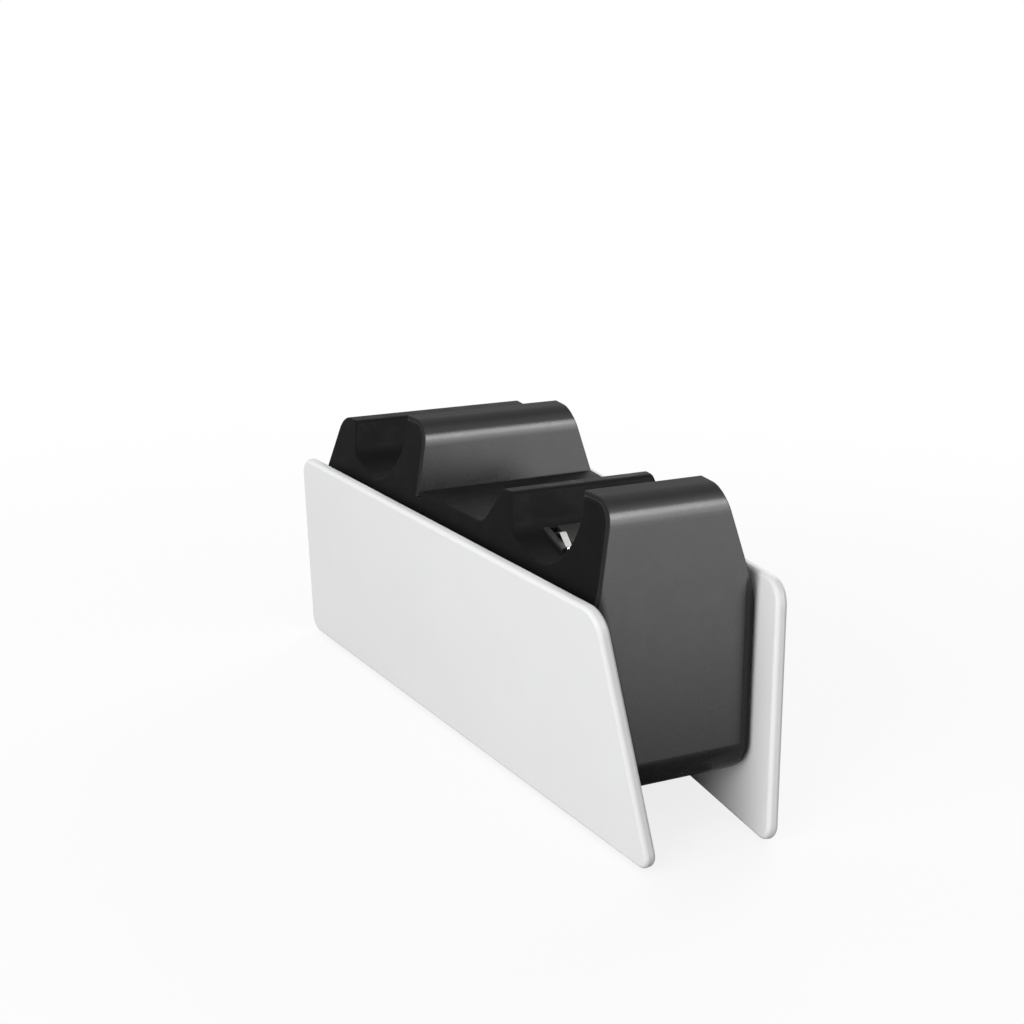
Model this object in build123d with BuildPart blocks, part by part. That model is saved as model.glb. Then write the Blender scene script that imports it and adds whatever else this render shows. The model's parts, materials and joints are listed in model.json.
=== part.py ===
from build123d import *

import os
from math import cos, radians, sin, tan

# Charging dock for two game controllers, in millimetres.
# The origin is the middle of the footprint on the table, +Z is up and the front faces -Y.
# Two leaning wings carry a cradle body with two scooped seats, one behind the other.

# Wings: two flat panels that lean out and close in towards the front
foot_drop = 0.8  # the rubber feet hold the wings this far off the table
wing_length = 150.5  # bottom edge, between its sharp corners
wing_height = 47.6
wing_thickness = 2.4
wing_rake = 12.0  # degrees that the front and rear edges lean over the wing
wing_lean = 6.9  # degrees out of the vertical
wing_toe = 4.55  # degrees that each wing turns in towards the front
wing_gap = 22.8  # between the inner faces at the front bottom corners
wing_corner_top = 5.5
wing_corner_bottom = 3.0
wing_edge = 0.9

# Covers: thin bent sheets over the two lips, flush with the shoulders
cover_inset = 6.2  # front face behind the wings' front edges
cover_rake = 11.6  # degrees that the face leans back
cover_wall = 0.9
cover_fit = 0.15  # play between a cover and the body under it
cover_bend = 6.0  # outer radius of the bend into the lip
cover_chin = 5.5  # outer radius along the bottom of the front cover
cover_side = 3.5  # outer radius along the sides of the front cover
cover_edge = 0.3  # along the edges above the shoulders
chin_height = 11.1  # underside of the front cover
lip_height = 64.85
lip_depth = 9.3
peg_diameter = 3.2
peg_length = 2.0
peg_spread = 12.0
front_peg_height = 30.0
middle_peg_drop = 7.85  # below the lip

# Cradles: a seat behind each lip
seat_depth = 15.85  # from the lip down to the lowest line of a seat
seat_radius = 10.4
seat_rise = 14.5  # degrees that the floor of a seat rises behind its scoop
seat_run = 8.5  # length of that floor
seat_heel = 5.0  # radius between the floor and the rear wall
seat_lean = 24.0  # degrees that the rear wall of a seat leans back
ridge_drop = 5.85  # below the lip
ridge_width = 3.5  # of the front ridge
rear_ridge_width = 7.1
ridge_round = 1.5
ridge_slope = 30.0  # degrees that the back of the front ridge leans
deck_drop = 13.85  # below the lip
deck_round = 4.0
slot_depth = 1.2  # the middle cover stands this deep in the deck

# Body
body_wall = 2.2
shoulder_rise = 40.85  # the body leaves the wings at this height of the wing
shoulder_lean = 14.5  # degrees that the shoulders lean in
rim_round = 0.5  # along the upper edges of the shoulders
seat_floor = 4.5  # thickness under the lowest line of a seat
back_inset = 6.2  # rear face in front of the wings' rear edges
back_round = 4.0
post_diameter = 6.0
post_height = 12.0
post_merge = 1.0  # the posts run this far into the side walls

# Base
base_clearance = 1.0
base_thickness = 2.0
base_front = 50.0  # behind the wings' front bottom corners
foot_diameter = 9.0
foot_recess = 0.8
foot_fit = 0.1
foot_edge = 0.5
foot_front = 16.0  # behind the front of the base plate
foot_rear = 22.0  # in front of the wings' rear bottom corners
foot_spread_front = 18.0
foot_spread_rear = 26.0
ballast_width = 22.0
ballast_thickness = 5.0
ballast_front = 14.0  # behind the front of the base plate
ballast_gap = 4.0  # in front of the main board
rib_thickness = 1.2
rib_height = 2.0
rib_fit = 0.3

# Fasteners
screw_diameter = 2.2
screw_play = 0.1  # around a shank, in its hole
screw_head = 4.4
screw_head_height = 1.4
sink_angle = 90.0  # of the base screws' heads
base_screw_front = 7.0  # behind the front of the base plate
base_screw_rear = 14.0  # in front of the wings' rear bottom corners
base_screw_length = 9.0
wing_boss = 5.6
wing_boss_fit = 0.2
wing_screw_head = 8.4
wing_screw_length = 2.9
wing_screw_shares = [(0.27, 0.55), (0.51, 0.65), (0.76, 0.55)]  # of the wing's length and height

# Contacts
contact_offset = 6.4  # behind the middle of a seat's scoop
block_length = 22.0
block_width = 8.0
block_rise = 0.8  # above the floor of the seat
block_round = 0.3
block_fit = 0.2
flange_length = 25.0
flange_width = 21.0
flange_thickness = 2.0
leaf_spread = 17.6
leaf_width = 1.4
leaf_thickness = 0.3
leaf_bend = 0.6
leaf_rise = 0.6
leaf_groove = 1.2
leaf_reach = 3.0
leaf_play = 0.3
leaf_tail = 0.8
contact_screw_pitch = 16.0
contact_screw_length = 6.6
contact_hole_spare = 0.4  # of a screw hole, past the end of its screw

# Boards, leads and the supply socket
board_thickness = 1.6
main_board_rear = 10.6  # in front of the wings' rear bottom corners
main_board_length = 37.4
main_board_width = 27.0
standoff_height = 3.0
standoff_diameter = 5.0
standoff_inset = 3.2
lead_socket = 5.0
lead_socket_height = 4.5
lead_spread = 8.0
lead_width = 4.0
lead_thickness = 1.0
lead_drop = 7.4  # from a contact board's lead socket down to the run along the dock
lead_bend = 3.0
usb_width = 8.94
usb_height = 3.26
usb_wall = 0.3
usb_length = 7.4
usb_fit = 0.2
usb_recess = 0.6
usb_recess_margin = 1.8
tongue_width = 6.6
tongue_thickness = 0.7
tongue_length = 5.0
tongue_root = 1.2
chip_size = 7.0
chip_height = 1.0
coil_size = 6.0
coil_height = 3.0
coil_round = 1.5
capacitor_diameter = 5.0
capacitor_height = 5.5
part_gap = 1.0  # between neighbours on the main board

# Levels and lengths that follow
base_top = base_clearance + base_thickness
wing_half_gap = wing_gap / 2
wing_run = wing_length * cos(radians(wing_toe))
front_y = (wing_thickness * sin(radians(wing_toe)) - wing_run) / 2
rear_y = front_y + wing_run
rake_run = tan(radians(cover_rake))
seat_height = lip_height - seat_depth + seat_radius
ridge_height = lip_height - ridge_drop
deck_height = lip_height - deck_drop
ceiling_height = lip_height - seat_depth - seat_floor
wide = wing_length  # wider than any part of the dock

# One cradle, measured back from the foot of its cover's face
axis_run = (seat_height - foot_drop) * rake_run + lip_depth + seat_radius / cos(radians(cover_rake))
floor_run = axis_run + seat_radius * sin(radians(seat_rise))
floor_height = seat_height - seat_radius * cos(radians(seat_rise))
heel_run = floor_run + seat_run
heel_height = floor_height + seat_run * tan(radians(seat_rise))
ridge_run = heel_run + (ridge_height - heel_height) * tan(radians(seat_lean))
cradle_depth = ridge_run + rear_ridge_width + (ridge_height - foot_drop) * rake_run
cradle_pitch = wing_run - cover_inset - back_inset - cradle_depth

# Places along the base
main_board_middle = rear_y - main_board_rear - main_board_length / 2
ballast_start = front_y + base_front + ballast_front
ballast_length = main_board_middle - main_board_length / 2 - ballast_gap - ballast_start
ballast_middle = ballast_start + ballast_length / 2


def flank(side, lean, half_width, height, inset):
    """A plane along one side of the dock, with its normal outwards, moved in by inset."""
    along = Vector(side * tan(radians(wing_toe)), 1, 0)
    rise = Vector(side * tan(radians(lean)), 0, 1)
    outward = (along.cross(rise) * side).normalized()
    corner = Vector(side * half_width, front_y, height)
    return Plane(corner - outward * inset, x_dir=along, z_dir=outward)


def wing_face(side, inset=0.0):
    """The inner face of a wing. On the right wing the plane's own x runs back and its y up."""
    return flank(side, wing_lean, wing_half_gap, foot_drop, inset)


def shoulder(side, inset=0.0):
    """The slope of the body above the line where it leaves the wings."""
    half_width = wing_half_gap + shoulder_rise * tan(radians(wing_lean))
    return flank(side, -shoulder_lean, half_width, foot_drop + shoulder_rise, inset)


def cradle_y(cradle):
    """Foot of a cover's face, where its cradle is measured from."""
    return front_y + cover_inset + cradle * cradle_pitch


def face_y(height, cradle=0):
    """Front face of the front cover (0) or the middle cover (1) at a height."""
    return cradle_y(cradle) + (height - foot_drop) * rake_run


def back_y(height):
    """Rear face of the body at a height."""
    return rear_y - back_inset - (height - foot_drop) * rake_run


def side_x(y, height):
    """Inner face of the right wing at a place."""
    toe_out = (y - front_y) * tan(radians(wing_toe))
    lean_out = (height - foot_drop) * tan(radians(wing_lean))
    return wing_half_gap + toe_out + lean_out


def seat_y(cradle):
    """Axis of a seat's scoop."""
    return cradle_y(cradle) + axis_run


def contact_y(cradle):
    """Middle of a seat's contacts."""
    return seat_y(cradle) + contact_offset


def contact_plane(cradle, rise=0.0):
    """A plane on the floor of a seat at its contacts, moved up by rise, with its x across the dock."""
    height = floor_height + (axis_run + contact_offset - floor_run) * tan(radians(seat_rise))
    upward = (0, -sin(radians(seat_rise)), cos(radians(seat_rise)))
    return Plane((0, contact_y(cradle), height), x_dir=(1, 0, 0), z_dir=upward).offset(rise)


def cover_plane(cradle, height, inset):
    """A plane on a cover's face, moved back by inset, with its y up the face."""
    origin = Vector(0, face_y(height, cradle) + inset / cos(radians(cover_rake)), height)
    outward = Vector(0, -cos(radians(cover_rake)), sin(radians(cover_rake)))
    return Plane(origin, x_dir=(1, 0, 0), z_dir=outward)


def trim_sides(inset):
    """Cuts the part in hand to the space between the wings."""
    for side in (-1, 1):
        split(bisect_by=wing_face(side, inset), keep=Keep.BOTTOM)


def trim_shoulders(inset):
    """Cuts the part in hand to the shoulder slopes."""
    for side in (-1, 1):
        split(bisect_by=shoulder(side, inset), keep=Keep.BOTTOM)


def cover_form(cradle, inset, tail):
    """The rounded solid that a cover encloses, inset from its outside and longer at the back by tail."""
    bottom = chin_height + inset
    top = lip_height - inset
    step = inset / cos(radians(cover_rake))
    with BuildPart() as form:
        with BuildSketch(Plane.YZ) as profile:
            with BuildLine():
                Polyline(
                    (face_y(bottom, cradle) + step, bottom),
                    (face_y(top, cradle) + step, top),
                    (face_y(top, cradle) + lip_depth + tail, top),
                    (face_y(bottom, cradle) + lip_depth + tail, bottom),
                    close=True,
                )
            make_face()
            front_corners = profile.vertices().group_by(Axis.Y)
            fillet(front_corners[-1].sort_by(Axis.X)[0], cover_bend - inset)
            fillet(profile.vertices().group_by(Axis.Y)[0].sort_by(Axis.X)[0], cover_chin - inset)
        extrude(amount=wide, both=True)
        trim_sides(inset)
        front = form.faces().filter_by(GeomType.PLANE).sort_by(Axis.Y)[0]
        across = front.edges().sort_by(Axis.X)
        fillet([across[0], across[-1]], cover_side - inset)
    return form.part


def cover_recess(cradle):
    """The space that a cover takes out of the body, with its play."""
    play = cover_wall + cover_fit
    bottom = chin_height - cover_fit
    top = lip_height + cover_fit
    with BuildPart() as recess:
        with BuildSketch(Plane.YZ):
            with BuildLine():
                Polyline(
                    (face_y(bottom, cradle) - cover_wall, bottom),
                    (face_y(top, cradle) - cover_wall, top),
                    (face_y(top, cradle) + lip_depth + cover_fit, top),
                    (face_y(bottom, cradle) + lip_depth + cover_fit, bottom),
                    close=True,
                )
            make_face()
        extrude(amount=wide, both=True)
        add(cover_form(cradle, play, cover_wall), mode=Mode.SUBTRACT)
    return recess.part


def body_outline():
    """Side outline of the body with its covers on, from the chin round to the base."""
    cosine, sine = cos(radians(cover_rake)), sin(radians(cover_rake))
    tops, fronts, lows, floors, heels, ridges = [], [], [], [], [], []
    for cradle in (0, 1):
        foot = cradle_y(cradle)
        tops.append((face_y(lip_height, cradle) + lip_depth, lip_height))
        fronts.append((seat_y(cradle) - seat_radius * cosine, seat_height + seat_radius * sine))
        lows.append((seat_y(cradle), seat_height - seat_radius))
        floors.append((foot + floor_run, floor_height))
        heels.append((foot + heel_run, heel_height))
        ridges.append((foot + ridge_run, ridge_height))
    ridge_back = ridges[0][0] + ridge_width
    deck_start = ridge_back + (ridge_height - deck_height) * tan(radians(ridge_slope))
    Polyline(
        (face_y(chin_height), chin_height),
        (face_y(lip_height), lip_height),
        tops[0],
        fronts[0],
    )
    ThreePointArc(fronts[0], lows[0], floors[0])
    Polyline(
        floors[0],
        heels[0],
        ridges[0],
        (ridge_back, ridge_height),
        (deck_start, deck_height),
        (face_y(deck_height, 1), deck_height),
        (face_y(lip_height, 1), lip_height),
        tops[1],
        fronts[1],
    )
    ThreePointArc(fronts[1], lows[1], floors[1])
    Polyline(
        floors[1],
        heels[1],
        ridges[1],
        (back_y(ridge_height), ridge_height),
        (back_y(base_top), base_top),
        (front_y + base_front, base_top),
        (face_y(chin_height) + lip_depth + cover_fit, chin_height),
        (face_y(chin_height), chin_height),
    )
    return {
        "heels": heels,
        "ridges": [ridges[0], (ridge_back, ridge_height), ridges[1]],
        "deck": [(deck_start, deck_height)],
        "back": [(back_y(ridge_height), ridge_height)],
    }


def corners(sketch, points):
    """The corners of a sketch that lie at the given points."""
    return [sketch.vertices().sort_by_distance(point)[0] for point in points]


def rim_edges(piece):
    """The upper edges of both shoulders, without the line where they meet the wings."""
    rims = []
    for side in (-1, 1):
        slope = piece.faces().filter_by(shoulder(side))[0]
        rims += slope.edges().sort_by(Axis.Z)[1:]
    return rims


def post_spots():
    """Places of the four screw posts, beside the side walls."""
    spots = []
    for y in (front_y + base_front + base_screw_front, rear_y - base_screw_rear):
        x = side_x(y, base_top) - body_wall - post_diameter / 2 + post_merge
        spots += [(-x, y), (x, y)]
    return spots


def contact_screw_spots(cradle):
    """Places of the two screws that hold a contact block."""
    y = contact_y(cradle)
    return [(0, y - contact_screw_pitch / 2), (0, y + contact_screw_pitch / 2)]


def standoff_spots():
    """Places of the main board's four screws."""
    x = main_board_width / 2 - standoff_inset
    first = main_board_middle - main_board_length / 2 + standoff_inset
    last = main_board_middle + main_board_length / 2 - standoff_inset
    return [(-x, first), (x, first), (-x, last), (x, last)]


def save(piece, name):
    """Labels a finished piece and writes it."""
    piece.part.label = name
    export_step(piece.part, f"parts/{name}.step")


os.makedirs("parts", exist_ok=True)

# Wings

wing_plane = wing_face(1)
wing_rise = wing_height / wing_plane.y_dir.Z
wing_setback = wing_rise * tan(radians(wing_rake))
boss_length = body_wall - screw_play
wing_screw_spots = [(along * wing_length, up * wing_rise) for along, up in wing_screw_shares]

with BuildPart() as right_wing:
    with BuildSketch(wing_plane) as wing_outline:
        with BuildLine():
            Polyline(
                (0, 0),
                (wing_length, 0),
                (wing_length - wing_setback, wing_rise),
                (wing_setback, wing_rise),
                close=True,
            )
        make_face()
        fillet(wing_outline.vertices().group_by(Axis.Y)[0], wing_corner_bottom)
        fillet(wing_outline.vertices().group_by(Axis.Y)[-1], wing_corner_top)
    extrude(amount=wing_thickness)
    fillet(right_wing.faces().sort_by(SortBy.AREA)[-2:].edges(), wing_edge)
    with BuildSketch(wing_plane):
        with Locations(*wing_screw_spots):
            Circle(wing_boss / 2)
    extrude(amount=-boss_length)
    with BuildSketch(wing_plane.offset(-boss_length)):
        with Locations(*wing_screw_spots):
            Circle(screw_diameter / 2 + screw_play)
    extrude(amount=wing_screw_length + screw_play, mode=Mode.SUBTRACT)
save(right_wing, "right_wing")

with BuildPart() as left_wing:
    mirror(right_wing.part, about=Plane.YZ)
save(left_wing, "left_wing")

with BuildPart() as wing_screws:
    with BuildSketch(wing_face(1, body_wall)):
        with Locations(*wing_screw_spots):
            Circle(wing_screw_head / 2)
    extrude(amount=-screw_head_height)
    with BuildSketch(wing_face(1, body_wall)):
        with Locations(*wing_screw_spots):
            Circle(screw_diameter / 2)
    extrude(amount=wing_screw_length)
    mirror(about=Plane.YZ)
save(wing_screws, "wing_screws")

with BuildPart() as boss_holes:
    with BuildSketch(wing_plane):
        with Locations(*wing_screw_spots):
            Circle(wing_boss / 2 + wing_boss_fit)
    extrude(amount=-2 * body_wall)
    mirror(about=Plane.YZ)

# Covers

with BuildPart() as front_cover:
    add(cover_form(0, 0, 0))
    trim_shoulders(0)
    fillet(rim_edges(front_cover), cover_edge)
    add(cover_form(0, cover_wall, cover_wall), mode=Mode.SUBTRACT)
    with BuildSketch(cover_plane(0, front_peg_height, cover_wall)):
        with Locations((-peg_spread / 2, 0), (peg_spread / 2, 0)):
            Circle(peg_diameter / 2)
    extrude(amount=-peg_length)
save(front_cover, "front_cover")

with BuildPart() as middle_cover:
    add(cover_form(1, 0, 0))
    trim_shoulders(0)
    fillet(rim_edges(middle_cover), cover_edge)
    add(cover_form(1, cover_wall, cover_wall), mode=Mode.SUBTRACT)
    split(bisect_by=Plane.XY.offset(deck_height - slot_depth), keep=Keep.TOP)
    with BuildSketch(cover_plane(1, lip_height - middle_peg_drop, cover_wall)):
        with Locations((-peg_spread / 2, 0), (peg_spread / 2, 0)):
            Circle(peg_diameter / 2)
    extrude(amount=-peg_length)
save(middle_cover, "middle_cover")

# Cradle body

with BuildPart() as hollow:
    wall_run = (cover_wall + cover_fit + body_wall) / cos(radians(cover_rake))
    chin_top = chin_height + cover_wall + cover_fit + body_wall
    with BuildSketch(Plane.YZ):
        with BuildLine():
            Polyline(
                (face_y(chin_top) + wall_run, chin_top),
                (face_y(ceiling_height) + wall_run, ceiling_height),
                (back_y(ceiling_height) - body_wall / cos(radians(cover_rake)), ceiling_height),
                (back_y(base_top) - body_wall / cos(radians(cover_rake)), base_top),
                (front_y + base_front + body_wall, base_top),
                (face_y(chin_height) + lip_depth + body_wall, chin_top),
                close=True,
            )
        make_face()
    extrude(amount=wide, both=True)
    trim_sides(body_wall)
    trim_shoulders(body_wall)

with BuildPart() as middle_recess:
    add(cover_recess(1))
    split(bisect_by=Plane.XY.offset(deck_height - slot_depth - cover_fit), keep=Keep.TOP)

usb_middle = base_top + standoff_height + board_thickness + usb_height / 2
usb_mouth = back_y(usb_middle) - usb_recess
usb_plane = Plane((0, usb_mouth, usb_middle), x_dir=(1, 0, 0), z_dir=(0, 1, 0))

with BuildPart() as cradle_body:
    with BuildSketch(Plane.YZ) as side_outline:
        with BuildLine():
            bends = body_outline()
        make_face()
        fillet(corners(side_outline, bends["heels"]), seat_heel)
        fillet(corners(side_outline, bends["ridges"]), ridge_round)
        fillet(corners(side_outline, bends["deck"]), deck_round)
        fillet(corners(side_outline, bends["back"]), back_round)
    extrude(amount=wide, both=True)
    trim_sides(0)
    trim_shoulders(0)
    fillet(rim_edges(cradle_body), rim_round)
    add(cover_recess(0), mode=Mode.SUBTRACT)
    add(middle_recess.part, mode=Mode.SUBTRACT)
    add(hollow.part, mode=Mode.SUBTRACT)
    add(boss_holes.part, mode=Mode.SUBTRACT)
    # Posts for the base screws
    with BuildSketch(Plane.XY.offset(base_top)):
        with Locations(*post_spots()):
            Circle(post_diameter / 2)
    extrude(amount=post_height)
    with BuildSketch(Plane.XY.offset(base_top)):
        with Locations(*post_spots()):
            Circle(screw_diameter / 2 + screw_play)
    extrude(amount=base_screw_length, mode=Mode.SUBTRACT)
    # Holes for the covers' pegs
    for cradle, height in ((0, front_peg_height), (1, lip_height - middle_peg_drop)):
        with BuildSketch(cover_plane(cradle, height, cover_wall)):
            with Locations((-peg_spread / 2, 0), (peg_spread / 2, 0)):
                Circle(peg_diameter / 2 + screw_play)
        extrude(amount=-(peg_length + 2 * cover_fit), mode=Mode.SUBTRACT)
    # Windows and screw holes for the contacts
    with BuildSketch(Plane.XY.offset(ceiling_height)):
        with Locations((0, contact_y(0)), (0, contact_y(1))):
            Rectangle(block_length + 2 * block_fit, block_width + 2 * block_fit)
    extrude(amount=seat_radius, mode=Mode.SUBTRACT)
    with BuildSketch(Plane.XY.offset(ceiling_height)):
        with Locations(*contact_screw_spots(0), *contact_screw_spots(1)):
            Circle(screw_diameter / 2 + screw_play)
    hole_depth = contact_screw_length - board_thickness - flange_thickness + contact_hole_spare
    extrude(amount=hole_depth, mode=Mode.SUBTRACT)
    # Mouth of the supply socket
    with BuildSketch(usb_plane):
        SlotOverall(usb_width + 2 * usb_recess_margin, usb_height + 2 * usb_recess_margin)
    extrude(amount=usb_length, mode=Mode.SUBTRACT)
    with BuildSketch(usb_plane):
        SlotOverall(usb_width + 2 * usb_fit, usb_height + 2 * usb_fit)
    extrude(amount=-usb_length, mode=Mode.SUBTRACT)
save(cradle_body, "cradle_body")

# Base plate, feet and ballast

rib_width = ballast_width + 2 * rib_fit
rib_length = ballast_length + 2 * rib_fit
foot_spots = {
    "foot_front_left": (-foot_spread_front / 2, front_y + base_front + foot_front),
    "foot_front_right": (foot_spread_front / 2, front_y + base_front + foot_front),
    "foot_rear_left": (-foot_spread_rear / 2, rear_y - foot_rear),
    "foot_rear_right": (foot_spread_rear / 2, rear_y - foot_rear),
}

with BuildPart() as base_plate:
    with BuildSketch(Plane.YZ):
        with BuildLine():
            Polyline(
                (front_y + base_front, base_clearance),
                (front_y + base_front, base_top),
                (back_y(base_top), base_top),
                (back_y(base_clearance), base_clearance),
                close=True,
            )
        make_face()
    extrude(amount=wide, both=True)
    trim_sides(0)
    with BuildSketch(Plane.XY.offset(base_top)):
        with Locations((0, ballast_middle)):
            Rectangle(rib_width + 2 * rib_thickness, rib_length + 2 * rib_thickness)
            Rectangle(rib_width, rib_length, mode=Mode.SUBTRACT)
    extrude(amount=rib_height)
    with BuildSketch(Plane.XY.offset(base_top)):
        with Locations(*standoff_spots()):
            Circle(standoff_diameter / 2)
            Circle(screw_diameter / 2 + screw_play, mode=Mode.SUBTRACT)
    extrude(amount=standoff_height)
    with BuildSketch(Plane.XY.offset(base_clearance)):
        with Locations(*foot_spots.values()):
            Circle(foot_diameter / 2 + foot_fit)
    extrude(amount=foot_recess, mode=Mode.SUBTRACT)
    with Locations(*[Location((x, y, base_clearance), (180, 0, 0)) for x, y in post_spots()]):
        CounterSinkHole(
            screw_diameter / 2 + screw_play,
            screw_head / 2 + screw_play,
            depth=base_thickness,
            counter_sink_angle=sink_angle,
        )
save(base_plate, "base_plate")

with BuildPart() as base_screws:
    with Locations(*[(x, y, base_clearance) for x, y in post_spots()]):
        Cone(
            screw_head / 2,
            screw_diameter / 2,
            (screw_head - screw_diameter) / 2 / tan(radians(sink_angle / 2)),
            align=(Align.CENTER, Align.CENTER, Align.MIN),
        )
        Cylinder(
            screw_diameter / 2,
            base_screw_length,
            align=(Align.CENTER, Align.CENTER, Align.MIN),
        )
save(base_screws, "base_screws")

for name, spot in foot_spots.items():
    with BuildPart() as foot:
        with BuildSketch(Plane.XY):
            with Locations(spot):
                Circle(foot_diameter / 2)
        extrude(amount=base_clearance + foot_recess)
        chamfer(foot.edges().group_by(Axis.Z)[0], foot_edge)
    save(foot, name)

with BuildPart() as ballast_plate:
    with BuildSketch(Plane.XY.offset(base_top)):
        with Locations((0, ballast_middle)):
            Rectangle(ballast_width, ballast_length)
    extrude(amount=ballast_thickness)
    chamfer(ballast_plate.edges().filter_by(Axis.Z), rib_thickness)
save(ballast_plate, "ballast_plate")

# Contacts under each seat

contact_board_top = ceiling_height - flange_thickness
contact_board_bottom = contact_board_top - board_thickness
leaf_slot = (leaf_width + 2 * leaf_play, leaf_thickness + 2 * leaf_play)
leaf_bed = block_rise - leaf_groove + leaf_play

for cradle, place in enumerate(("front", "rear")):
    middle = contact_y(cradle)
    leaf_spots = [(-leaf_spread / 2, 0), (leaf_spread / 2, 0)]
    tail_spots = [(-leaf_spread / 2, middle - leaf_reach), (leaf_spread / 2, middle - leaf_reach)]
    screw_spots = contact_screw_spots(cradle)

    with BuildPart() as contact_block:
        with BuildSketch(Plane.XY.offset(ceiling_height)):
            with Locations((0, middle)):
                Rectangle(block_length, block_width)
        extrude(amount=seat_radius)
        split(bisect_by=contact_plane(cradle, block_rise), keep=Keep.BOTTOM)
        top_edges = contact_block.faces().sort_by(Axis.Z)[-1].edges().sort_by(Axis.X)
        fillet([top_edges[0], top_edges[-1]], block_round)
        with BuildSketch(contact_plane(cradle, block_rise)):
            with Locations(*leaf_spots):
                Rectangle(leaf_slot[0], 2 * block_width)
        extrude(amount=-leaf_groove, mode=Mode.SUBTRACT)
        with BuildSketch(Plane.XY.offset(contact_board_top)):
            with Locations((0, middle)):
                Rectangle(flange_length, flange_width)
            with Locations(*screw_spots):
                Circle(screw_diameter / 2 + screw_play, mode=Mode.SUBTRACT)
        extrude(amount=flange_thickness)
        with BuildSketch(Plane.XY.offset(contact_board_top)):
            with Locations(*tail_spots):
                Rectangle(*leaf_slot)
        extrude(amount=flange_thickness + seat_radius, mode=Mode.SUBTRACT)
    save(contact_block, f"{place}_contact_block")

    with BuildPart() as contact_board:
        with BuildSketch(Plane.XY.offset(contact_board_bottom)):
            with Locations((0, middle)):
                Rectangle(flange_length, flange_width)
            with Locations(*screw_spots):
                Circle(screw_diameter / 2 + screw_play, mode=Mode.SUBTRACT)
            with Locations(*tail_spots):
                Rectangle(*leaf_slot, mode=Mode.SUBTRACT)
        extrude(amount=board_thickness)
    save(contact_board, f"{place}_contact_board")

    bed = contact_plane(cradle, leaf_bed).origin.Z
    bed_run = leaf_reach * tan(radians(seat_rise))
    for side, hand in ((-1, "left"), (1, "right")):
        with BuildPart() as leaf:
            with BuildSketch(Plane.YZ.offset(side * leaf_spread / 2 - leaf_width / 2)):
                with BuildLine():
                    FilletPolyline(
                        (middle - leaf_reach, contact_board_bottom - leaf_tail),
                        (middle - leaf_reach, bed - bed_run),
                        (middle, bed + leaf_groove + leaf_rise),
                        (middle + leaf_reach, bed + bed_run),
                        radius=leaf_bend,
                    )
                trace(line_width=leaf_thickness)
            extrude(amount=leaf_width)
        save(leaf, f"{place}_contact_{hand}")

with BuildPart() as contact_screws:
    screw_spots = contact_screw_spots(0) + contact_screw_spots(1)
    with Locations(*[(x, y, contact_board_bottom) for x, y in screw_spots]):
        Cylinder(
            screw_head / 2,
            screw_head_height,
            align=(Align.CENTER, Align.CENTER, Align.MAX),
        )
        Cylinder(
            screw_diameter / 2,
            contact_screw_length,
            align=(Align.CENTER, Align.CENTER, Align.MIN),
        )
save(contact_screws, "contact_screws")

# Main board and the supply socket

main_board_bottom = base_top + standoff_height
main_board_top = main_board_bottom + board_thickness
socket_row = contact_y(1)

with BuildPart() as main_board:
    with BuildSketch(Plane.XY.offset(main_board_bottom)):
        with Locations((0, main_board_middle)):
            Rectangle(main_board_width, main_board_length)
        with Locations(*standoff_spots()):
            Circle(screw_diameter / 2 + screw_play, mode=Mode.SUBTRACT)
    extrude(amount=board_thickness)
save(main_board, "main_board")

with BuildPart() as board_screws:
    with Locations(*[(x, y, main_board_top) for x, y in standoff_spots()]):
        Cylinder(
            screw_head / 2,
            screw_head_height,
            align=(Align.CENTER, Align.CENTER, Align.MIN),
        )
        Cylinder(
            screw_diameter / 2,
            board_thickness + standoff_height,
            align=(Align.CENTER, Align.CENTER, Align.MAX),
        )
save(board_screws, "board_screws")

with BuildPart() as board_parts:
    row = socket_row + lead_socket / 2 + part_gap
    with BuildSketch(Plane.XY.offset(main_board_top)):
        with Locations((-coil_size / 2 - part_gap, row + coil_size / 2)):
            RectangleRounded(coil_size, coil_size, coil_round)
    extrude(amount=coil_height)
    with BuildSketch(Plane.XY.offset(main_board_top)):
        with Locations((chip_size / 2, row + chip_size / 2)):
            Rectangle(chip_size, chip_size)
    extrude(amount=chip_height)
    capacitor_spread = lead_spread + lead_socket + capacitor_diameter + 2 * part_gap
    with BuildSketch(Plane.XY.offset(main_board_top)):
        with Locations((-capacitor_spread / 2, socket_row), (capacitor_spread / 2, socket_row)):
            Circle(capacitor_diameter / 2)
    extrude(amount=capacitor_height)
save(board_parts, "board_parts")

with BuildPart() as usb_shell:
    with BuildSketch(usb_plane):
        SlotOverall(usb_width, usb_height)
        SlotOverall(usb_width - 2 * usb_wall, usb_height - 2 * usb_wall, mode=Mode.SUBTRACT)
    extrude(amount=-usb_length)
save(usb_shell, "usb_shell")

with BuildPart() as usb_tongue:
    with BuildSketch(usb_plane.offset(-usb_length)):
        SlotOverall(usb_width - 2 * usb_wall, usb_height - 2 * usb_wall)
    extrude(amount=tongue_root)
    with BuildSketch(usb_plane.offset(tongue_root - usb_length)):
        Rectangle(tongue_width, tongue_thickness)
    extrude(amount=tongue_length)
save(usb_tongue, "usb_tongue")

# Leads from the main board to the contact boards

with BuildPart() as lead_sockets:
    for side, cradle in ((-1, 0), (1, 1)):
        with BuildSketch(Plane.XY.offset(main_board_top)):
            with Locations((side * lead_spread / 2, socket_row)):
                Rectangle(lead_socket, lead_socket)
        extrude(amount=lead_socket_height)
        with BuildSketch(Plane.XY.offset(contact_board_bottom)):
            with Locations((side * lead_spread / 2, contact_y(cradle))):
                Rectangle(lead_socket, lead_socket)
        extrude(amount=-lead_socket_height)
save(lead_sockets, "lead_sockets")

lead_start = main_board_top + lead_socket_height
lead_end = contact_board_bottom - lead_socket_height

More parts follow.
